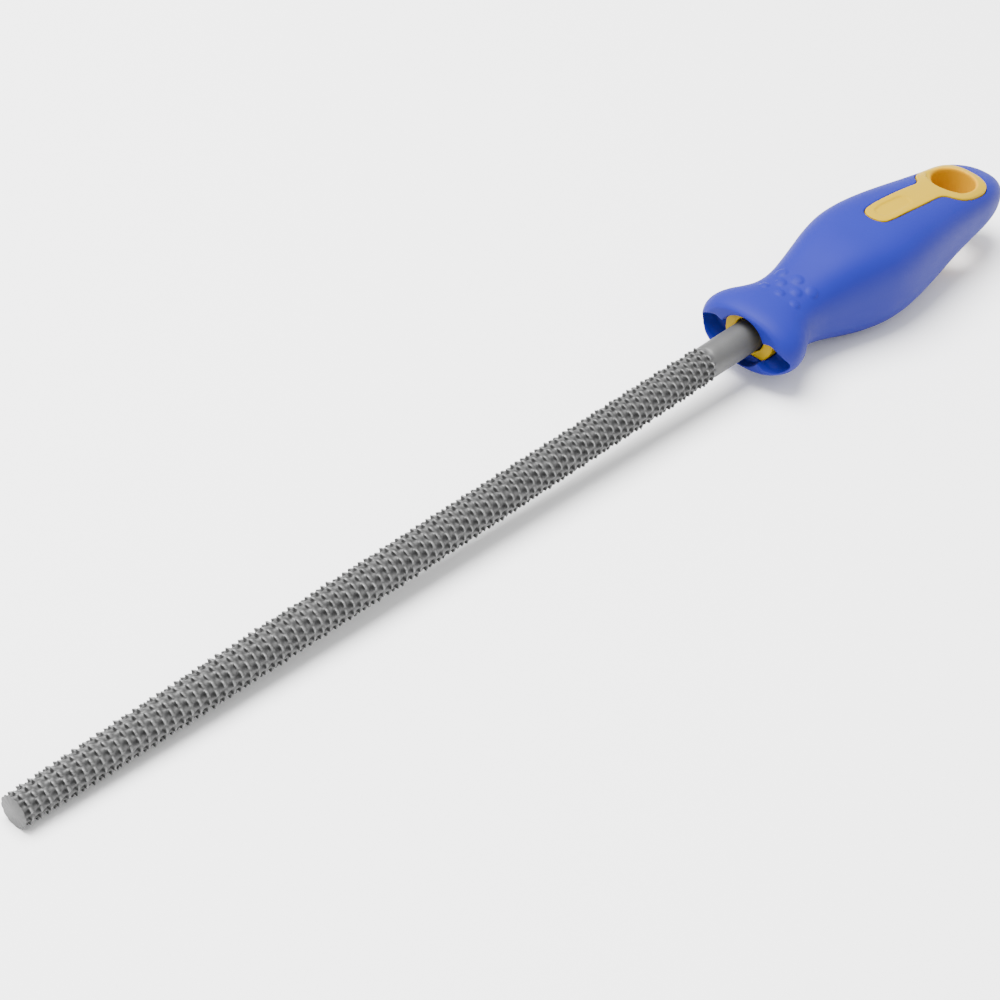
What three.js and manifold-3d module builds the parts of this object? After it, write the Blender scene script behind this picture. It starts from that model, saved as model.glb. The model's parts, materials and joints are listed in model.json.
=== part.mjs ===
// Round wood rasp: a toothed steel rod with a tang, driven into a moulded handle that has
// a hard core and a soft sleeve. Millimetres.
// The tool is drawn along its own axis, with the blade's end face at x = 0, the blade's axis
// on y = z = 0 and the hanging eye facing up. It is then laid down as it rests, on the end of
// the blade and on the belly of the grip.
import * as THREE from 'three';
import { mergeVertices } from 'three/addons/utils/BufferGeometryUtils.js';
import Module from 'manifold-3d';

// Blade
const toothPitch = 2;
const ringCount = 92;
const firstRingX = 1.4;
const teethPerRing = 12;
const columns = 2 * teethPerRing;
const ringTwist = THREE.MathUtils.degToRad(2.4);
const toothFront = 0.35;
const toothHeight = 0.5;
const valleyLift = 0.1;
const crestRadiusMax = 4;
const crestMaxX = 90;
const endFaceRadius = 3.05;
const neckRadius = 3.6;
const neckStartX = 185.2;
const neckEndX = 207;
const tangStartX = 209;
const tangEndX = 256;
const tangHalfAtShoulder = 2.5;
const tangHalfAtEnd = 1.6;

// Handle
const gap = 0.3;
const gripColumns = 40;
const coreColumns = 24;
const sleeveWall = 2.7;
const coreStartX = 206.4;
const coreEndX = 284;
const lipX = 196.8;
const lipRadius = 5.7;
const noseFaceX = 199;
const noseEndX = 211;
const noseRadius = 6.2;
const boreRadius = 4.4;
const boreEndX = 209.5;
const pocketCentreY = 7.4;
const pocketHalfY = 4.4;
const pocketHalfZ = 4.7;
const pocketExponent = 1.7;
const pocketStartX = 195;
const pocketEndX = 203;
const pocketTaper = 0.74;
const eyeX = 272.3;
const eyeHoleRadius = 5;
const eyeRingRadius = 7;
const reach = 20;

// Outer form of the grip: distance along the axis, half-width, half-height, height of the
// section's centre, and how square the section is (2 is an ellipse)
const gripSections = [
  [lipX, 9.9, 6.2, 0, 2.2],
  [197.6, 11.2, 6.9, 0, 2.2],
  [199.2, 12.2, 7.4, 0, 2.2],
  [201.4, 12.5, 7.6, 0, 2.2],
  [203.8, 11.9, 7.6, 0, 2.2],
  [206.5, 10.4, 7.5, 0, 2.2],
  [209.4, 8.9, 7.5, 0, 2.3],
  [212.4, 8.3, 7.8, 0, 2.4],
  [215.6, 8.35, 8.4, 0, 2.5],
  [219.6, 9.05, 9.3, 0, 2.6],
  [224.5, 10.15, 10.4, 0, 2.8],
  [230.0, 11.5, 11.2, 0, 3],
  [236.0, 12.6, 11.5, 0, 3.1],
  [242.0, 12.8, 11.4, 0, 3.1],
  [248.5, 12.25, 10.8, 0.1, 3.1],
  [255.5, 11.3, 9.7, 0.3, 3.1],
  [263.0, 10.2, 8.3, 0.5, 3.1],
  [270.5, 9.25, 7.1, 0.5, 3.1],
  [277.5, 8.4, 6.1, 0.5, 3],
  [282.0, 7.2, 5.2, 0.5, 2.8],
  [285.4, 5.4, 4.0, 0.5, 2.5],
  [287.5, 3.1, 2.3, 0.5, 2.4],
];
const buttX = 288.3;
const bellyX = 237;
const bellyHalfHeight = 11.5;

// One side of the inlay's plan: a round-ended stripe, then a shoulder, then the ring round
// the eye. Distance along the axis and half-width.
const inlayEdge = [
  [239.8, 0],
  [240.1, 1.5],
  [241.2, 2.75],
  [243.4, 3.25],
  [248, 3.4],
  [254, 3.5],
  [259, 3.35],
  [261.8, 3.4],
  [263.4, 4.1],
  [264.6, 5.3],
  [266.3, 6.35],
  [269, 6.9],
  [272.4, 7],
  [275.6, 6.6],
  [277.8, 5.3],
  [279, 3],
  [279.4, 0],
];

const wasm = await Module();
wasm.setup();

// Merges a geometry's shared vertices and drops the slivers at its poles.
function closed(geometry) {
  const bare = geometry.clone();
  bare.deleteAttribute('normal');
  bare.deleteAttribute('uv');
  const merged = mergeVertices(bare, 1e-4);
  const corners = merged.index.array;
  const kept = [];
  for (let i = 0; i < corners.length; i += 3) {
    const [a, b, c] = corners.slice(i, i + 3);
    if (a !== b && b !== c && c !== a) kept.push(a, b, c);
  }
  merged.setIndex(kept);
  return merged;
}

function toSolid(geometry) {
  const shape = closed(geometry);
  return new wasm.Manifold(new wasm.Mesh({
    numProp: 3,
    vertProperties: new Float32Array(shape.attributes.position.array),
    triVerts: new Uint32Array(shape.index.array),
  }));
}

function toGeometry(solid) {
  const mesh = solid.getMesh();
  const geometry = new THREE.BufferGeometry();
  geometry.setAttribute('position', new THREE.BufferAttribute(new Float32Array(mesh.vertProperties), 3));
  geometry.setIndex(Array.from(mesh.triVerts));
  geometry.computeVertexNormals();
  return geometry;
}

// A closed skin along the axis. It is a lathe whose points are moved: point(station, column)
// gives each one's y and z, and the first and last stations close the ends on the axis.
function skin(stations, count, point) {
  const ends = [0, stations.length - 1];
  const outline = stations.map((_, k) => new THREE.Vector2(ends.includes(k) ? 0 : 1, k));
  const geometry = new THREE.LatheGeometry(outline, count);
  const position = geometry.attributes.position;
  for (let column = 0; column <= count; column++) {
    stations.forEach((station, k) => {
      const [y, z] = ends.includes(k) ? [0, 0] : point(station, column % count);
      position.setXYZ(column * stations.length + k, station.x, y, z);
    });
  }
  return geometry;
}

// ---- blade ----

// Radius over the teeth: a slight barrel that narrows to the end and to the neck.
function crestRadius(x) {
  if (x < crestMaxX) return crestRadiusMax * (1 - 0.2 * ((crestMaxX - x) / crestMaxX) ** 2.2);
  return crestRadiusMax * (1 - 0.05 * ((x - crestMaxX) / 95) ** 1.8);
}

function bladeStations() {
  const rootAtEnd = crestRadius(0) - toothHeight;
  const stations = [
    { x: 0, ring: 0 },
    { x: 0, ring: 0, radius: endFaceRadius },
    { x: 0.3, ring: 0, radius: rootAtEnd },
  ];
  for (let ring = 0; ring < ringCount; ring++) {
    const x = firstRingX + ring * toothPitch;
    const root = crestRadius(x) - toothHeight;
    stations.push({ x: x - toothFront, ring, radius: root });
    stations.push({ x, ring, radius: root + valleyLift, crest: crestRadius(x) });
  }
  stations.push({ x: neckStartX, ring: ringCount, radius: neckRadius });
  stations.push({ x: neckEndX, ring: ringCount, radius: neckRadius });
  stations.push({ x: tangStartX, ring: ringCount, half: tangHalfAtShoulder });
  stations.push({ x: tangEndX, ring: ringCount, half: tangHalfAtEnd });
  stations.push({ x: tangEndX, ring: ringCount });
  return stations;
}

// The teeth of each ring stand on every second column, shifted one column from ring to ring,
// and the whole pattern turns slowly about the axis. The tang's corners fall on columns.
function bladePoint(station, column) {
  const angle = column * (2 * Math.PI / columns) + (station.ring - ringCount) * ringTwist;
  const isTooth = (column + station.ring) % 2 === 0;
  let radius = station.radius;
  if (station.crest && isTooth) radius = station.crest;
  if (station.half) radius = station.half / Math.max(Math.abs(Math.cos(angle)), Math.abs(Math.sin(angle)));
  return [radius * Math.cos(angle), radius * Math.sin(angle)];
}

function makeBlade() {
  return closed(skin(bladeStations(), columns, bladePoint));
}

// ---- handle ----

// A point at an angle on an oval, rounder or squarer by its exponent.
function ovalPoint(halfY, halfZ, exponent, angle) {
  const bend = (v) => Math.sign(v) * Math.abs(v) ** (2 / exponent);
  return [halfY * bend(Math.cos(angle)), halfZ * bend(Math.sin(angle))];
}

// The grip's form, or a smaller one inside it from the waist to short of the butt.
function gripForm(inset, startX, endX, count) {
  const inside = gripSections.filter(([x]) => x >= startX && x <= endX);
  const stations = inside.map(([x, width, height, centre, exponent]) => (
    { x, width: width - inset, height: height - inset, centre, exponent }));
  stations[0].x = startX;
  const point = (station, column) => {
    const angle = column * (2 * Math.PI / count);
    const [y, z] = ovalPoint(station.width, station.height, station.exponent, angle);
    return [y, z + station.centre];
  };
  return toSolid(skin([{ x: startX }, ...stations, { x: endX }], count, point));
}

// A round bar along the axis.
function bar(fromX, toX, radius) {
  const geometry = new THREE.CylinderGeometry(radius, radius, toX - fromX, 32);
  geometry.rotateZ(-Math.PI / 2);
  geometry.translate((fromX + toX) / 2, 0, 0);
  return toSolid(geometry);
}

// Plan of the racket-shaped inlay, grown by an even amount all round.
function racketPlan(grow) {
  const edge = new THREE.SplineCurve(inlayEdge.map(([x, y]) => new THREE.Vector2(x, y)));
  const count = 2 * inlayEdge.length;
  const side = [];
  for (let k = 0; k <= count; k++) {
    const along = edge.getTangent(k / count);
    if (k === 0 || k === count) along.set(0, k ? -1 : 1);
    side.push(edge.getPoint(k / count).add(new THREE.Vector2(-along.y, along.x).multiplyScalar(grow)));
  }
  const mirrored = side.slice(1, -1).reverse().map((point) => new THREE.Vector2(point.x, -point.y));
  return new THREE.Shape([...side, ...mirrored]);
}

function upright(shape, fromZ, toZ, curveSegments) {
  const geometry = new THREE.ExtrudeGeometry(shape, {
    depth: toZ - fromZ,
    bevelEnabled: false,
    curveSegments,
  });
  geometry.translate(0, 0, fromZ);
  return toSolid(geometry);
}

function disc(x, radius) {
  return new THREE.Shape().absarc(x, 0, radius, 0, 2 * Math.PI, false);
}

// The core, with its racket and eye still running past the grip; grow makes the sleeve's cavity.
function coreForm(grow) {
  const nose = bar(noseFaceX - grow, noseEndX + grow, noseRadius + grow);
  const body = gripForm(sleeveWall - grow, coreStartX - grow, coreEndX + grow, coreColumns);
  const racket = upright(racketPlan(grow), 0, reach, 10);
  const eye = upright(disc(eyeX, eyeRingRadius + grow), -reach, 0, 20);
  return nose.add(body).add(racket).add(eye);
}

function tangSocket() {
  const stations = [
    { x: boreEndX - 1 },
    { x: boreEndX - 1, half: tangHalfAtShoulder + gap },
    { x: tangEndX + gap, half: tangHalfAtEnd + gap },
    { x: tangEndX + gap },
  ];
  const point = (station, column) => {
    const [y, z] = [[1, 1], [-1, 1], [-1, -1], [1, -1]][column];
    return [y * station.half, z * station.half];
  };
  return toSolid(skin(stations, 4, point));
}

function makeCore(grip) {
  const hole = upright(disc(eyeX, eyeHoleRadius), -reach, reach, 20);
  const bore = bar(lipX - gap, boreEndX, boreRadius);
  const form = coreForm(0).intersect(grip);
  return toGeometry(form.subtract(hole).subtract(bore).subtract(tangSocket()));
}

// The mouth is a round opening at the lip, with a pointed oval pocket on each side of the nose
// that narrows as it goes in.
function makeSleeve(grip) {
  const lip = bar(lipX - reach, noseFaceX, lipRadius);
  const stations = [
    { x: pocketStartX },
    { x: pocketStartX, size: 1 },
    { x: pocketEndX, size: pocketTaper },
    { x: pocketEndX },
  ];
  const pockets = [-1, 1].map((side) => {
    const point = (station, column) => ovalPoint(
      pocketHalfY * station.size, pocketHalfZ * station.size, pocketExponent, column * (Math.PI / 12));
    const pocket = skin(stations, 24, point);
    pocket.translate(0, side * pocketCentreY, 0);
    return toSolid(pocket);
  });
  const mouth = lip.add(pockets[0]).add(pockets[1]);
  return toGeometry(grip.subtract(coreForm(gap)).subtract(mouth));
}

// ---- materials and assembly ----

const steel = new THREE.MeshStandardMaterial({ color: 0x7f8284, roughness: 0.45, metalness: 0.9 });
const yellow = new THREE.MeshStandardMaterial({ color: 0xffe01f, roughness: 0.4, metalness: 0 });
const blue = new THREE.MeshStandardMaterial({ color: 0x3a58c0, roughness: 0.7, metalness: 0 });

function part(name, geometry, material) {
  const mesh = new THREE.Mesh(geometry, material);
  mesh.name = name;
  return mesh;
}

const grip = gripForm(0, lipX, buttX, gripColumns);
const tool = new THREE.Group();
tool.add(
  part('rasp_blade', makeBlade(), steel),
  part('handle_core', makeCore(grip), yellow),
  part('grip_sleeve', makeSleeve(grip), blue),
);

// The tool lies on the end of the blade and on the belly of the grip, centred over the origin.
tool.rotation.y = -Math.atan2(bellyHalfHeight - crestRadius(firstRingX), bellyX - firstRingX);
tool.updateMatrixWorld(true);
const box = new THREE.Box3().setFromObject(tool, true);
const centre = box.getCenter(new THREE.Vector3());
tool.position.set(-centre.x, -centre.y, -box.min.z);

const rasp = new THREE.Group();
rasp.add(tool);
export default rasp;
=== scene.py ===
import json
import math

import bmesh
import bpy
import numpy as np
from mathutils import Matrix, Vector


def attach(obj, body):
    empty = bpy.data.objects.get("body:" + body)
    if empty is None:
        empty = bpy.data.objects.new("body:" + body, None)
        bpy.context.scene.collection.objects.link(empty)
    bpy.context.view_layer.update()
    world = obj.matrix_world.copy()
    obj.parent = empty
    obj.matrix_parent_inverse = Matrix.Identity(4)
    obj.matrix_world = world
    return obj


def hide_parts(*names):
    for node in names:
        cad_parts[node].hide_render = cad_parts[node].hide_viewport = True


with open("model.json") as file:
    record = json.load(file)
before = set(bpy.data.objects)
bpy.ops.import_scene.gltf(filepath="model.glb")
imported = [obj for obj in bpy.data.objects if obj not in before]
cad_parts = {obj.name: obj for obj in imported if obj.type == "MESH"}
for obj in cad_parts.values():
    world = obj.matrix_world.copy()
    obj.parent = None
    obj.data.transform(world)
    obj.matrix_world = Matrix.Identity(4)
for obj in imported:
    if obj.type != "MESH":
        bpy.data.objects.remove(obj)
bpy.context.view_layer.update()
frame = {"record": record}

# The tool is drawn in millimetres along its own axis: blade end at x = 0, eye facing +z.
# Two mounts of the record say where that axis lies, so toolPlace carries it into the frame.
mounts = {mount["name"]: mount for mount in frame["record"]["mounts"]}
alongTool = -Vector(mounts["blade_end"]["axis"]).normalized()
upTool = Vector(mounts["hanging_eye"]["axis"]).normalized()
acrossTool = upTool.cross(alongTool).normalized()
toolStart = Vector(mounts["blade_end"]["pos_m"])
toolTurn = Matrix((alongTool, acrossTool, upTool)).transposed().to_4x4()
toolPlace = Matrix.Translation(toolStart) @ toolTurn @ Matrix.Scale(0.001, 4)


# aim and distance in millimetres and the angles in degrees, all in the tool's own axes
cameraSettings = {
    "aim": (121.34, -0.35, -0.49),
    "azimuth": -51.25,
    "elevation": 40.3,
    "distance": 543.7,
    "roll": -5.83,
    "lens": 100.7,
    "sensor": 36,
    "clip": (0.01, 20),
}


# the way from a thing towards a camera or lamp that stands at these angles
def toward(azimuth, elevation):
    around, above = math.radians(azimuth), math.radians(elevation)
    return Vector((
        math.sin(around) * math.cos(above),
        -math.cos(around) * math.cos(above),
        math.sin(above),
    ))


def makeCamera(settings):
    back = toward(settings["azimuth"], settings["elevation"])
    around = math.radians(settings["azimuth"])
    right = Vector((math.cos(around), math.sin(around), 0))
    up = back.cross(right)
    turn = Matrix((right, up, back)).transposed().to_4x4()
    roll = Matrix.Rotation(math.radians(-settings["roll"]), 4, "Z")
    stand = Vector(settings["aim"]) + back * settings["distance"]
    data = bpy.data.cameras.new("camera")
    data.sensor_width = settings["sensor"]
    data.lens = settings["lens"]
    data.clip_start, data.clip_end = settings["clip"]
    camera = bpy.data.objects.new("camera", data)
    camera.matrix_world = Matrix.Translation(toolPlace @ stand) @ toolTurn @ turn @ roll
    bpy.context.scene.collection.objects.link(camera)
    bpy.context.scene.camera = camera


makeCamera(cameraSettings)
print("camera placed")


class Wire:
    # one output socket; arithmetic on it adds Math nodes
    def __init__(self, tree, socket):
        self.tree = tree
        self.socket = socket

    def calc(self, operation, *values):
        return self.tree.make("ShaderNodeMath", {"operation": operation}, dict(enumerate(values)))

    def __add__(self, other):
        return self.calc("ADD", self, other)

    def __radd__(self, other):
        return self.calc("ADD", other, self)

    def __mul__(self, other):
        return self.calc("MULTIPLY", self, other)

    def __rmul__(self, other):
        return self.calc("MULTIPLY", other, self)


class Finish:
    # a material's node tree around one Principled shader
    def __init__(self, name, **constants):
        self.material = bpy.data.materials.new(name)
        self.material.use_nodes = True
        self.nodes = self.material.node_tree.nodes
        self.links = self.material.node_tree.links
        self.shader = self.nodes["Principled BSDF"]
        self.feed(self.shader, {key.replace("_", " "): value for key, value in constants.items()})

    def feed(self, node, inputs):
        for key, value in inputs.items():
            if isinstance(value, Wire):
                self.links.new(value.socket, node.inputs[key])
            else:
                node.inputs[key].default_value = value

    def make(self, nodeType, settings=None, inputs=None, output=0):
        node = self.nodes.new(nodeType)
        for key, value in (settings or {}).items():
            setattr(node, key, value)
        self.feed(node, inputs or {})
        return Wire(self, node.outputs[output])

    def noise(self, perMetre, detail, roughness=0.5):
        spot = self.make("ShaderNodeTexCoord", output="Object")
        inputs = {"Vector": spot, "Scale": perMetre, "Detail": detail, "Roughness": roughness}
        return self.make("ShaderNodeTexNoise", None, inputs)

    def attribute(self, name):
        return self.make("ShaderNodeAttribute", {"attribute_name": name}, output="Fac")

    # a Mix node keeps its two colours at inputs 6 and 7, and the mixed colour at output 2
    def blend(self, factor, first, second):
        inputs = {0: factor, 6: first, 7: second}
        return self.make("ShaderNodeMix", {"data_type": "RGBA"}, inputs, output=2)

    def bump(self, height, strength, distance):
        inputs = {"Height": height, "Strength": strength, "Distance": distance}
        return self.make("ShaderNodeBump", None, inputs)


def rgba(red, green, blue):
    return (red, green, blue, 1)


# In the finishes, cloud, speck and grain are a noise's scale per metre, its detail and, where
# it is given, its roughness. A bump is its strength and its height in metres.
steelSettings = {
    "grey": rgba(0.07, 0.07, 0.07),
    "paleGrey": rgba(0.1, 0.1, 0.099),
    # painted shade: the dark grey laid on the tooth fronts, their pits and the neck inside the mouth
    "paintedShadeGrey": rgba(0.02, 0.02, 0.02),
    # painted highlight: the pale grey laid on the tooth crests
    "paintedHighlightGrey": rgba(0.26, 0.26, 0.26),
    "paintedHighlightShare": 0.6,  # how strongly the painted highlight lightens a crest
    "metallic": 0.55,
    "cloud": (160, 4),
    "speck": (2600, 3),
    "roughness": 0.42,
    "speckRoughness": 0.16,
    "pitRoughness": 0.15,
    "bump": (0.25, 0.00003),
}


def makeSteel(settings):
    steel = Finish("bladeSteel", Metallic=settings["metallic"])
    cloud = steel.noise(*settings["cloud"])
    speck = steel.noise(*settings["speck"])
    body = steel.blend(cloud, settings["grey"], settings["paleGrey"])
    # this mask is painted shade, darkening the tooth fronts, their pits and the neck inside the mouth
    front = steel.attribute("paintedPitAndNeckShade")
    # this crest mask carries the painted highlight on the tooth crests
    crest = steel.attribute("paintedCrestHighlight")
    cut = steel.blend(front, body, settings["paintedShadeGrey"])
    speckled = settings["roughness"] + speck * settings["speckRoughness"]
    steel.feed(steel.shader, {
        "Base Color": steel.blend(crest * settings["paintedHighlightShare"], cut, settings["paintedHighlightGrey"]),
        "Roughness": speckled + front * settings["pitRoughness"],
        "Normal": steel.bump(speck, *settings["bump"]),
    })
    return steel.material


yellowSettings = {
    "yellow": rgba(0.35, 0.225, 0.0003),
    "deepYellow": rgba(0.33, 0.2, 0.0003),
    "paintedBounceOrange": rgba(0.5, 0.245, 0.0004),  # painted bounce light deep in the eye, where light reflected off the yellow walls turns orange
    "clouding": 0.5,
    "ior": 1.49,
    "specular": 0.08,
    "cloud": (120, 3),
    "grain": (5200, 2),
    "roughness": 0.34,
    "cloudRoughness": 0.08,
    "bump": (0.08, 0.00002),
}


def makeYellow(settings):
    yellow = Finish("coreYellow", IOR=settings["ior"], Specular_IOR_Level=settings["specular"])
    cloud = yellow.noise(*settings["cloud"])
    grain = yellow.noise(*settings["grain"])
    body = yellow.blend(cloud * settings["clouding"], settings["yellow"], settings["deepYellow"])
    yellow.feed(yellow.shader, {
        "Base Color": yellow.blend(yellow.attribute("paintedEyeBounce"), body, settings["paintedBounceOrange"]),
        "Roughness": settings["roughness"] + cloud * settings["cloudRoughness"],
        "Normal": yellow.bump(grain, *settings["bump"]),
    })
    return yellow.material


blueSettings = {
    "blue": rgba(0.006, 0.0085, 0.165),
    "paleBlue": rgba(0.0075, 0.0105, 0.187),
    "ior": 1.45,
    "specular": 0.18,
    "cloud": (90, 3),
    "grain": (4200, 3, 0.6),
    "roughness": 0.52,
    "grainRoughness": 0.16,
    "bump": (0.3, 0.00004),
}


def makeBlue(settings):
    blue = Finish("gripBlue", IOR=settings["ior"], Specular_IOR_Level=settings["specular"])
    cloud = blue.noise(*settings["cloud"])
    grain = blue.noise(*settings["grain"])
    blue.feed(blue.shader, {
        "Base Color": blue.blend(cloud, settings["blue"], settings["paleBlue"]),
        "Roughness": settings["roughness"] + grain * settings["grainRoughness"],
        "Normal": blue.bump(grain, *settings["bump"]),
    })
    return blue.material


finishes = {
    "blade_steel": makeSteel(steelSettings),
    "core_plastic": makeYellow(yellowSettings),
    "grip_rubber": makeBlue(blueSettings),
}
print("finishes made")


def link(name, mesh):
    piece = bpy.data.objects.new(name, mesh)
    bpy.context.scene.collection.objects.link(piece)
    return piece


# the angles of evenly spaced points round a ring
def ringAngles(count):
    return np.arange(count) * 2 * math.pi / count


# a closed tube through rings of points, with a fan of faces over each end
def closedSkin(name, rings):
    stations, count = rings.shape[:2]
    points = np.concatenate([rings.reshape(-1, 3), rings[0].mean(0)[None], rings[-1].mean(0)[None]])
    first, last = len(points) - 2, len(points) - 1
    faces = []
    for k in range(stations - 1):
        for j in range(count):
            a, b = k * count + j, k * count + (j + 1) % count
            faces.append((a, b, b + count, a + count))
    top = (stations - 1) * count
    for j in range(count):
        after = (j + 1) % count
        faces.append((first, after, j))
        faces.append((last, top + j, top + after))
    mesh = bpy.data.meshes.new(name)
    mesh.from_pydata(points.tolist(), [], faces)
    mesh.validate()
    work = bmesh.new()
    work.from_mesh(mesh)
    bmesh.ops.recalc_face_normals(work, faces=work.faces)
    work.to_mesh(mesh)
    work.free()
    return link(name, mesh)


# never zero, so that a step can be divided by it
def lengthOf(step):
    return max(np.linalg.norm(step), 1e-6)


# a smooth run of points through the given ones
def smoothRun(points, steps):
    points = np.array(points, float)
    ends = [2 * points[0] - points[1], *points, 2 * points[-1] - points[-2]]
    run = []
    for before, start, stop, after in zip(ends, ends[1:], ends[2:], ends[3:]):
        span = lengthOf(stop - start)
        straight = (stop - start) / span
        leave = 0.5 * span * ((start - before) / lengthOf(start - before) + straight)
        arrive = 0.5 * span * ((after - stop) / lengthOf(after - stop) + straight)
        for t in np.arange(steps) / steps:
            run.append(
                (2 * t**3 - 3 * t**2 + 1) * start + (t**3 - 2 * t**2 + t) * leave
                + (3 * t**2 - 2 * t**3) * stop + (t**3 - t**2) * arrive
            )
    return np.array([*run, points[-1]])


# a solid turned about x from (distance, radius) pairs
def turned(name, profile, count):
    rings = [[(x, r * math.cos(a), r * math.sin(a)) for a in ringAngles(count)] for x, r in profile]
    return closedSkin(name, np.array(rings))


# an upright prism over a plan outline
def prism(name, outline, low, high):
    points = [(x, y, z) for z in (low, high) for x, y in outline]
    count = len(outline)
    faces = [tuple(reversed(range(count))), tuple(range(count, 2 * count))]
    for j in range(count):
        after = (j + 1) % count
        faces.append((j, after, after + count, j + count))
    mesh = bpy.data.meshes.new(name)
    mesh.from_pydata(points, [], faces)
    return link(name, mesh)


# turns a piece's modifiers into its mesh
def bakeShape(piece):
    bpy.context.view_layer.update()
    graph = bpy.context.evaluated_depsgraph_get()
    mesh = bpy.data.meshes.new_from_object(piece.evaluated_get(graph))
    piece.modifiers.clear()
    old = piece.data
    piece.data = mesh
    bpy.data.meshes.remove(old)


def combine(piece, tool, operation):
    step = piece.modifiers.new("combine", "BOOLEAN")
    step.operation = operation
    step.solver = "MANIFOLD"
    step.object = tool
    bakeShape(piece)
    bpy.data.objects.remove(tool)
    return piece


mouldSettings = {
    "grain": 0.22,
    "softness": 0.5,
    "softPasses": 4,
}


# rounds every edge a little, as a moulding's are, and keeps the mesh even
def moulded(piece, settings, mostTriangles):
    remesh = piece.modifiers.new("even", "REMESH")
    remesh.mode = "VOXEL"
    remesh.voxel_size = settings["grain"]
    soften = piece.modifiers.new("soften", "SMOOTH")
    soften.factor = settings["softness"]
    soften.iterations = settings["softPasses"]
    bakeShape(piece)
    triangles = 2 * len(piece.data.polygons)  # remesh gives four-sided faces
    if triangles > mostTriangles:
        thin = piece.modifiers.new("thin", "DECIMATE")
        thin.ratio = mostTriangles / triangles
        bakeShape(piece)


def shadeSmooth(piece):
    piece.data.polygons.foreach_set("use_smooth", [True] * len(piece.data.polygons))


def addShare(piece, name, values):
    layer = piece.data.attributes.new(name, "FLOAT", "POINT")
    layer.data.foreach_set("value", values.astype(np.float32))


def settle(piece, slotName, node):
    shadeSmooth(piece)
    piece.data.transform(toolPlace)
    piece.data.materials.clear()
    piece.data.materials.append(finishes[slotName])
    piece.data.update()
    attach(piece, "root")
    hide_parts(node)


bladeSettings = {
    "pitch": 2.0,
    "rings": 92,
    "firstRing": 1.4,
    "teeth": 12,
    "stepsPerTooth": 10,
    "twist": 2.4,  # degrees from one ring to the next, beside the half-tooth shift
    "crestMax": 4.22,
    "crestMaxAt": 90,
    "endTaper": (0.17, 2.2, 90),  # share of the radius lost, how late it goes, over what length
    "neckTaper": (0.05, 1.8, 95),
    "toothHeight": 0.66,
    "toothHalfWidth": 0.93,
    "toothOutline": (1.7, 0.8),  # a tooth is squarer with more of the first or less of the second
    "pitDepth": 0.34,
    "lean": 0.1,  # how far a crest hangs over its front
    "bow": 0.16,  # how far a crest's corners sweep back
    "upperRise": 0.5,  # rows of the tooth that stand higher than this lean and sweep
    "crestRise": 0.8,  # and rows higher than this are ragged and carry the painted highlight
    "slideRows": (-1, 0.6),  # rows between these distances slide with their tooth
    "seed": 7,
    "sizeSpread": (0.13, -1.8, 1.2),  # spread, then its lowest and highest cut
    "slideSpread": (0.06, -2, 2),
    "sidewaysSpread": (0.06, -2, 2),
    "ragged": 0.1,
    "endFace": 3.36,
    "endBite": 0.22,
    "endBiteWidth": 0.8,
    "bevel": 0.1,
    "neck": 3.6,
    "neckSteps": (-0.6, -0.2, 0.2, 1.5),  # from where the teeth end: valley, bevel, full neck, rings
    "neckRings": 22,
    "neckEnd": 207,
    "shadeFrom": 195.2,  # where painted shade starts to darken the neck towards the mouth
    "shadeLength": 3.2,
    "shadeMost": 0.9,
    "tang": [(209, 2.5), (256, 1.6)],
    "tangCorner": 1.32,  # a corner's reach over the tang's half-width
}

# across one tooth from front to back: distance from the crest, height, width, share of painted shade
toothProfile = [
    (-1.3, -0.08, 0.45, 0.35),
    (-0.8, -0.6, 0.8, 0.75),
    (-0.3, -1.0, 1.0, 1.0),
    (-0.15, -0.5, 1.02, 1.0),
    (-0.07, 0.65, 1.02, 1.0),
    (0.0, 1.0, 1.0, 0.5),
    (0.2, 0.88, 0.96, 0.0),
    (0.62, 0.4, 0.92, 0.0),
]


def crestRadius(x, settings):
    middle = settings["crestMaxAt"]
    share, lateness, length = settings["endTaper" if x < middle else "neckTaper"]
    return settings["crestMax"] * (1 - share * (abs(x - middle) / length) ** lateness)


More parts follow.
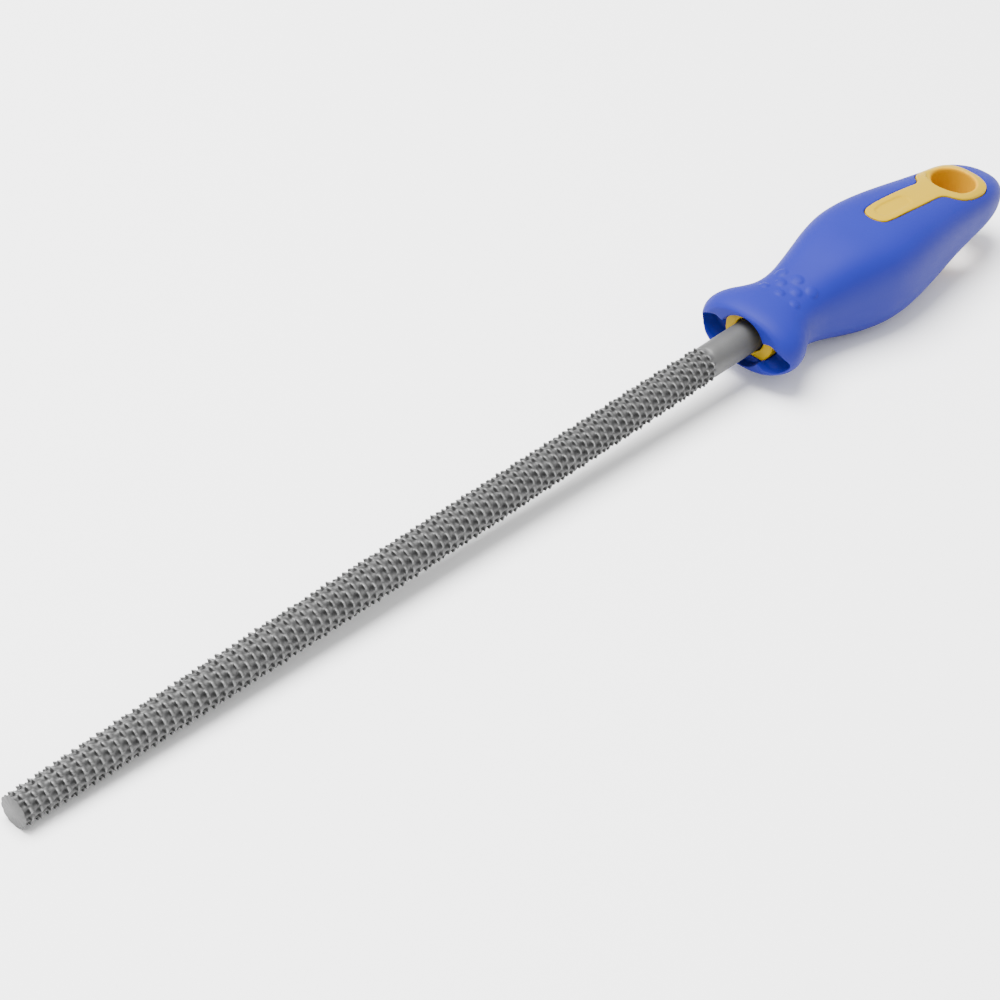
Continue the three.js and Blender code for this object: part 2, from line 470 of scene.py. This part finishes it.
def makeBlade(settings):
    dice = np.random.default_rng(settings["seed"])
    perTooth = settings["stepsPerTooth"]
    count = settings["teeth"] * perTooth
    height = settings["toothHeight"]
    columns = np.arange(count)
    rings, front, crest = [], [], []

    def addRing(x, radius, twist, paintedShadeShare=0.0, crestShare=0.0):
        angle = ringAngles(count) + math.radians(twist)
        x, radius = np.broadcast_to(x, count), np.broadcast_to(radius, count)
        rings.append(np.stack([x, radius * np.cos(angle), radius * np.sin(angle)], 1))
        front.append(np.broadcast_to(paintedShadeShare, count))
        crest.append(np.broadcast_to(crestShare, count))

    # how far each column is from the middle of its tooth, where 1 is the tooth's side
    def across(ring, top, width, sideways=0.0):
        cell = (columns + ring % 2 * perTooth // 2) % perTooth - perTooth / 2
        arc = cell * 2 * math.pi * top / count - sideways
        return arc / (settings["toothHalfWidth"] * width * top / settings["crestMax"])

    def perToothSpread(name):
        spread, least, most = settings[name]
        return spread * dice.standard_normal(settings["teeth"]).clip(least, most)

    bevel = settings["bevel"]
    endTwist = -(settings["rings"] * settings["twist"])
    endPlace = across(0, settings["endFace"], settings["endBiteWidth"])
    bite = settings["endBite"] * (1 - np.abs(endPlace).clip(0, 1))
    addRing(0.0, settings["endFace"] - bevel - bite, endTwist)
    addRing(bevel, settings["endFace"] - bite, endTwist)

    flatness, narrowing = settings["toothOutline"]
    slideFrom, slideTo = settings["slideRows"]
    for ring in range(settings["rings"]):
        middle = settings["firstRing"] + ring * settings["pitch"]
        top = crestRadius(middle, settings)
        root = top - height
        twist = (ring - settings["rings"]) * settings["twist"]
        tooth = (columns + ring % 2 * perTooth // 2) // perTooth % settings["teeth"]
        size = 1 + perToothSpread("sizeSpread")
        slide = perToothSpread("slideSpread")
        sideways = perToothSpread("sidewaysSpread")
        for distance, rise, width, paintedDark in toothProfile:
            place = across(ring, top, width, sideways[tooth])
            inside = (1 - np.abs(place).clip(0, 1) ** flatness) ** narrowing
            isUpper = rise > settings["upperRise"]
            isCrest = rise > settings["crestRise"]
            ragged = 1 + settings["ragged"] * dice.standard_normal(count) * isCrest
            reach = settings["pitDepth"] if rise < 0 else height
            lift = rise * reach * inside * size[tooth] * ragged
            x = middle + distance + slide[tooth] * (slideFrom < distance < slideTo)
            x = x + isUpper * (settings["bow"] * place.clip(-1, 1) ** 2 - settings["lean"] * inside)
            # inside times the fourth column is the painted shade on the tooth's front and pit
            addRing(x, root + lift, twist, inside * paintedDark, inside * isCrest)

    teethEnd = settings["firstRing"] + settings["rings"] * settings["pitch"]
    valleyEnd, bevelStart, bevelEnd, ringStart = (teethEnd + step for step in settings["neckSteps"])
    addRing(valleyEnd, root, 0)
    addRing(bevelStart, settings["neck"] - bevel, 0)
    addRing(bevelEnd, settings["neck"], 0)
    for x in np.linspace(ringStart, settings["neckEnd"], settings["neckRings"]):
        # painted shade on the neck inside the mouth, where the lip shades it
        shade = (x - settings["shadeFrom"]) / settings["shadeLength"]
        addRing(x, settings["neck"], 0, min(max(shade, 0), settings["shadeMost"]))
    square = 1 / np.maximum(np.abs(np.cos(ringAngles(count))), np.abs(np.sin(ringAngles(count))))
    for x, half in settings["tang"]:
        addRing(x, half * square.clip(0, settings["tangCorner"]), 0)

    blade = closedSkin("raspBlade", np.array(rings))
    for name, share in (("paintedPitAndNeckShade", front), ("paintedCrestHighlight", crest)):
        addShare(blade, name, np.concatenate([np.array(share).ravel(), [0, 0]]))  # none at the end points
    settle(blade, "blade_steel", "rasp_blade")


makeBlade(bladeSettings)
print("blade made")


gripSettings = {
    "columns": 112,
    "stepsBetween": 6,
    # distance along the tool, half-width, half-height, centre height, squareness
    "sections": [
        (196.8, 9.9, 6.2, 0.0, 2.2),
        (197.6, 11.2, 6.9, 0.0, 2.2),
        (199.2, 12.2, 7.4, 0.0, 2.2),
        (201.4, 12.5, 7.6, 0.0, 2.2),
        (203.8, 11.9, 7.6, 0.0, 2.2),
        (206.5, 10.4, 7.5, 0.0, 2.2),
        (209.4, 8.9, 7.5, 0.0, 2.3),
        (212.4, 8.3, 7.8, 0.0, 2.4),
        (215.6, 8.35, 8.4, 0.0, 2.5),
        (219.6, 9.05, 9.3, 0.0, 2.6),
        (224.5, 10.15, 10.4, 0.0, 2.8),
        (230.0, 11.5, 11.2, 0.0, 3.0),
        (236.0, 12.6, 11.5, 0.0, 3.1),
        (242.0, 12.8, 11.4, 0.0, 3.1),
        (248.5, 12.25, 10.8, 0.1, 3.1),
        (255.5, 11.3, 9.7, 0.3, 3.1),
        (263.0, 10.2, 8.3, 0.5, 3.1),
        (270.5, 9.25, 7.1, 0.5, 3.1),
        (277.5, 8.4, 6.0, 0.4, 3.0),
        (282.0, 7.2, 4.85, 0.1, 2.8),
        (285.4, 5.35, 3.6, -0.2, 2.5),
        (287.5, 3.05, 2.0, -0.3, 2.4),
        (288.3, 0.05, 0.04, -0.3, 2.4),
    ],
    "wall": 2.7,
    "thinnest": 0.03,  # half-size that an inset section keeps at least
}

mouthSettings = {
    "cutFrom": 190,  # the mouth's cutters start here, outside the handle
    "lip": 5.9,
    "lipDrop": 0.3,
    "nose": 6.3,
    "noseFlat": 4.5,
    "noseFace": 199.5,
    "noseEnd": 211.0,
    "noseColumns": 96,
    "bore": 3.85,
    "boreEnd": 209.5,
    "boreColumns": 72,
    "pocketY": 7.35,
    "pocketZ": -1.0,
    "pocketHalfY": 4.5,
    "pocketHalfZ": 3.5,
    "pocketPoint": 1.65,
    "pocketSizes": [(193.0, 1.0), (199.2, 1.0), (201.8, 0.66)],
    "pocketColumns": 48,
}

inlaySettings = {
    # one side of the plan: a round-ended stripe, a shoulder, then the ring round the eye
    "edge": [
        (239.8, 0), (240.1, 1.5), (241.2, 2.75), (243.4, 3.25), (248, 3.4), (254, 3.5),
        (259, 3.35), (261.8, 3.4), (263.4, 4.1), (264.6, 5.3), (266.3, 6.35), (269, 6.9),
        (272.4, 7), (275.6, 6.6), (277.8, 5.3), (279, 3), (279.4, 0),
    ],
    "panel": [(242.2, 0), (242.6, 1.2), (244, 1.8), (250, 1.9), (253, 1.6), (254, 0)],
    "planSteps": 4,
    "panelDepth": 0.3,
    "panelFrom": 5.0,
    "ring": 7.0,
    "ringColumns": 72,
    "eyeAt": 272.3,
    "eye": 5.0,
    "eyeRound": 1.3,
    "proud": 0.2,
    "seam": 0.14,
    "reach": 20.0,  # an upright prism runs this far from the axis, past the grip
    "overlap": 0.1,
}


def ovalPoints(halfY, halfZ, squareness, angle):
    bend = 2 / squareness
    y = np.sign(np.cos(angle)) * np.abs(np.cos(angle)) ** bend
    z = np.sign(np.sin(angle)) * np.abs(np.sin(angle)) ** bend
    return halfY * y, halfZ * z


def gripRun():
    return smoothRun(gripSettings["sections"], gripSettings["stepsBetween"])


def gripSkin(inset=0.0, fromX=0.0, toX=math.inf):
    count = gripSettings["columns"]
    thinnest = gripSettings["thinnest"]
    rings = []
    for x, width, height, centre, squareness in gripRun():
        if fromX <= x <= toX:
            halfY, halfZ = max(width - inset, thinnest), max(height - inset, thinnest)
            y, z = ovalPoints(halfY, halfZ, squareness, ringAngles(count))
            rings.append(np.stack([np.full(count, x), y, z + centre], 1))
    return closedSkin("grip", np.array(rings))


# height of the grip's upper surface
def gripTop(x, y):
    run = gripRun()
    width, height, centre, squareness = (np.interp(x, run[:, 0], run[:, k]) for k in range(1, 5))
    return centre + height * max(1 - abs(y / width) ** squareness, 0) ** (1 / squareness)


# a plan symmetric about the axis, drawn from one side of it and grown evenly
def planFrom(edge, grow):
    side = smoothRun(edge, inlaySettings["planSteps"])
    along = np.gradient(side, axis=0)
    along[0], along[-1] = (0, 1), (0, -1)
    along /= np.linalg.norm(along, axis=1)[:, None]
    side = side + grow * np.stack([-along[:, 1], along[:, 0]], 1)
    mirrored = side[-2:0:-1] * (1, -1)
    return [tuple(point) for point in [*mirrored, *side][::-1]]


def circlePlan(x, radius, count):
    turns = np.linspace(0, 2 * math.pi, count + 1)[:-1]
    return [(x + radius * math.cos(a), radius * math.sin(a)) for a in turns]


coreSettings = {
    "bodyStart": 206.4,
    "bodyEnd": 284,
    "socket": [(208.5, 4.1), (256.4, 2.8)],  # distance, half-diagonal
    "eyeCentre": 0.5,  # height of the grip's middle at the eye
    "eyeSteps": 9,
    "eyeColumns": 96,
    "eyePast": (8, 5),  # how far the eye's cutter runs past the grip, and how much it widens
    "wallStart": 0.8,  # painted orange bounce light starts this far outside the eye's radius
    "wallFade": 0.7,  # and is full this much further in
    "triangles": 150000,
}


# the core before its edges are trimmed; grow makes the sleeve's matching cavity
def coreForm(grow):
    mouth, inlay, core = mouthSettings, inlaySettings, coreSettings
    count = mouth["noseColumns"]
    flat = mouth["noseFlat"] + grow
    y = (mouth["nose"] + grow) * np.cos(ringAngles(count))
    z = ((mouth["nose"] + grow) * np.sin(ringAngles(count))).clip(-flat, flat)
    ends = (mouth["noseFace"] - grow, mouth["noseEnd"] + grow)
    form = closedSkin("coreForm", np.array([np.stack([np.full(count, x), y, z], 1) for x in ends]))
    body = gripSkin(gripSettings["wall"] - grow, core["bodyStart"] - grow, core["bodyEnd"] + grow)
    combine(form, body, "UNION")
    stripe = prism("stripe", planFrom(inlay["edge"], grow), 0.0, inlay["reach"])
    combine(form, stripe, "UNION")
    ring = circlePlan(inlay["eyeAt"], inlay["ring"] + grow, inlay["ringColumns"])
    return combine(form, prism("eye", ring, -inlay["reach"], inlay["overlap"]), "UNION")


# the eye's cutter: straight through, and rounded outwards at both rims
def eyeHole(settings, inlay):
    top = gripTop(inlay["eyeAt"], 0)
    bottom = 2 * settings["eyeCentre"] - top
    past, spread = settings["eyePast"]
    flare = inlay["eyeRound"]
    turn = np.linspace(0, math.pi / 2, settings["eyeSteps"])
    upper = [
        (top - flare * (1 - math.sin(a)), inlay["eye"] + flare * (1 - math.cos(a))) for a in turn
    ]
    lower = [(bottom + top - z, radius) for z, radius in reversed(upper)]
    wide = inlay["eye"] + flare + spread
    profile = [(bottom - past, wide), *lower, *upper, (top + past, wide)]
    hole = turned("eyeHole", profile, settings["eyeColumns"])
    upright = Matrix.Rotation(-math.pi / 2, 4, "Y")
    hole.data.transform(Matrix.Translation((inlay["eyeAt"], 0, 0)) @ upright)
    return hole


def makeCore(settings):
    mouth, inlay = mouthSettings, inlaySettings
    core = combine(coreForm(0.0), gripSkin(-inlay["proud"]), "INTERSECT")
    panel = prism("panel", planFrom(inlay["panel"], 0), inlay["panelFrom"], inlay["reach"])
    combine(panel, gripSkin(inlay["panelDepth"] - inlay["proud"]), "DIFFERENCE")
    combine(core, panel, "DIFFERENCE")
    combine(core, eyeHole(settings, inlay), "DIFFERENCE")
    boreProfile = [(mouth["cutFrom"], mouth["bore"]), (mouth["boreEnd"], mouth["bore"])]
    combine(core, turned("bore", boreProfile, mouth["boreColumns"]), "DIFFERENCE")
    socket = turned("socket", settings["socket"], 4)
    socket.data.transform(Matrix.Rotation(math.pi / 4, 4, "X"))
    combine(core, socket, "DIFFERENCE")
    core.name = "handleCore"
    moulded(core, mouldSettings, settings["triangles"])
    points = np.empty(len(core.data.vertices) * 3, np.float32)
    core.data.vertices.foreach_get("co", points)
    points = points.reshape(-1, 3)
    # painted orange bounce light on the eye's wall, fading out towards its rim
    reach = np.hypot(points[:, 0] - inlay["eyeAt"], points[:, 1])
    wall = (inlay["eye"] + settings["wallStart"] - reach) / settings["wallFade"]
    addShare(core, "paintedEyeBounce", wall.clip(0, 1))
    settle(core, "core_plastic", "handle_core")


makeCore(coreSettings)
print("core made")


sleeveSettings = {
    # rows of dots over the waist: distance along the tool, offsets across, radius
    "dotRows": [
        (207.6, (-4.9, -0.7, 3.5), 1.15),
        (210.6, (-2.8, 1.4), 1.25),
        (213.5, (-4.9, -0.7, 3.5), 1.38),
    ],
    "dotRise": 0.36,
    "dotSunk": 0.2,  # depth of a dot's centre under the surface, as a share of its rise
    "dotColumns": 32,
    "dotSteps": 17,
    "dotPole": 0.02,  # angle left out at a dot's poles
    "slopeStep": 0.3,
    "triangles": 180000,
}


# a flattened ball set into the grip's upper surface and facing straight out of it
def gripDot(x, y, radius, settings):
    poles = settings["dotPole"], math.pi - settings["dotPole"]
    turns = np.linspace(*poles, settings["dotSteps"])
    dot = turned("dot", [(-math.cos(a), math.sin(a)) for a in turns], settings["dotColumns"])
    step, rise, sunk = settings["slopeStep"], settings["dotRise"], settings["dotSunk"]
    slopeX = gripTop(x + step, y) - gripTop(x - step, y)
    slopeY = gripTop(x, y + step) - gripTop(x, y - step)
    outward = Vector((-slopeX, -slopeY, 2 * step)).normalized()
    dot.data.transform(
        Matrix.Translation(Vector((x, y, gripTop(x, y))) - outward * rise * sunk)
        @ outward.to_track_quat("Z", "Y").to_matrix().to_4x4()
        @ Matrix.Diagonal((radius, radius, rise * (1 + sunk), 1))
        @ Matrix.Rotation(math.pi / 2, 4, "Y")
    )
    return dot


# side is -1 or 1
def mouthPocket(side, mouth):
    count = mouth["pocketColumns"]
    rings = []
    for x, size in mouth["pocketSizes"]:
        halfY, halfZ = mouth["pocketHalfY"] * size, mouth["pocketHalfZ"] * size
        y, z = ovalPoints(halfY, halfZ, mouth["pocketPoint"], ringAngles(count))
        place = [np.full(count, x), y + side * mouth["pocketY"], z + mouth["pocketZ"]]
        rings.append(np.stack(place, 1))
    return closedSkin("pocket", np.array(rings))


def makeSleeve(settings):
    mouth = mouthSettings
    sleeve = gripSkin()
    for x, offsets, radius in settings["dotRows"]:
        for y in offsets:
            combine(sleeve, gripDot(x, y, radius, settings), "UNION")
    combine(sleeve, coreForm(inlaySettings["seam"]), "DIFFERENCE")
    lipProfile = [(mouth["cutFrom"], mouth["lip"]), (mouth["noseFace"], mouth["lip"])]
    lip = turned("lip", lipProfile, mouth["boreColumns"])
    lip.data.transform(Matrix.Translation((0, 0, -mouth["lipDrop"])))
    combine(sleeve, lip, "DIFFERENCE")
    for side in (-1, 1):
        combine(sleeve, mouthPocket(side, mouth), "DIFFERENCE")
    sleeve.name = "gripSleeve"
    moulded(sleeve, mouldSettings, settings["triangles"])
    settle(sleeve, "grip_rubber", "grip_sleeve")


makeSleeve(sleeveSettings)
print("sleeve made")


# metres, degrees and watts, in the frame's own axes
stageSettings = {
    "size": 6.0,
    "white": rgba(0.9, 0.9, 0.9),
    "paleWhite": rgba(0.93, 0.93, 0.93),
    "roughness": 0.7,
    "cloud": (1.5, 2),
    "world": 1.35,
    "lamps": {
        "keyLight": {"azimuth": 202, "elevation": 72, "distance": 1.2, "size": 0.95, "power": 60},
        "sideLight": {"azimuth": -110, "elevation": 45, "distance": 1.4, "size": 0.9, "power": 8},
    },
}


def makeFloor(settings):
    half = settings["size"] / 2
    corners = [(-half, -half, 0), (half, -half, 0), (half, half, 0), (-half, half, 0)]
    mesh = bpy.data.meshes.new("floor")
    mesh.from_pydata(corners, [], [(0, 1, 2, 3)])
    floor = link("floor", mesh)
    paper = Finish("floorPaper", Roughness=settings["roughness"])
    cloud = paper.noise(*settings["cloud"])
    white = paper.blend(cloud, settings["white"], settings["paleWhite"])
    paper.feed(paper.shader, {"Base Color": white})
    mesh.materials.append(paper.material)


def makeWorld(strength):
    world = bpy.data.worlds.new("studio")
    world.use_nodes = True
    background = world.node_tree.nodes["Background"]
    background.inputs["Color"].default_value = rgba(1, 1, 1)
    background.inputs["Strength"].default_value = strength
    bpy.context.scene.world = world


def addSoftbox(name, settings):
    way = toward(settings["azimuth"], settings["elevation"])
    data = bpy.data.lights.new(name, "AREA")
    data.shape = "DISK"
    data.size = settings["size"]
    data.energy = settings["power"]
    lamp = bpy.data.objects.new(name, data)
    facing = way.to_track_quat("Z", "Y").to_matrix().to_4x4()
    lamp.matrix_world = Matrix.Translation(way * settings["distance"]) @ facing
    bpy.context.scene.collection.objects.link(lamp)


makeFloor(stageSettings)
makeWorld(stageSettings["world"])
for lampName, lampSettings in stageSettings["lamps"].items():
    addSoftbox(lampName, lampSettings)
print("stage lit")
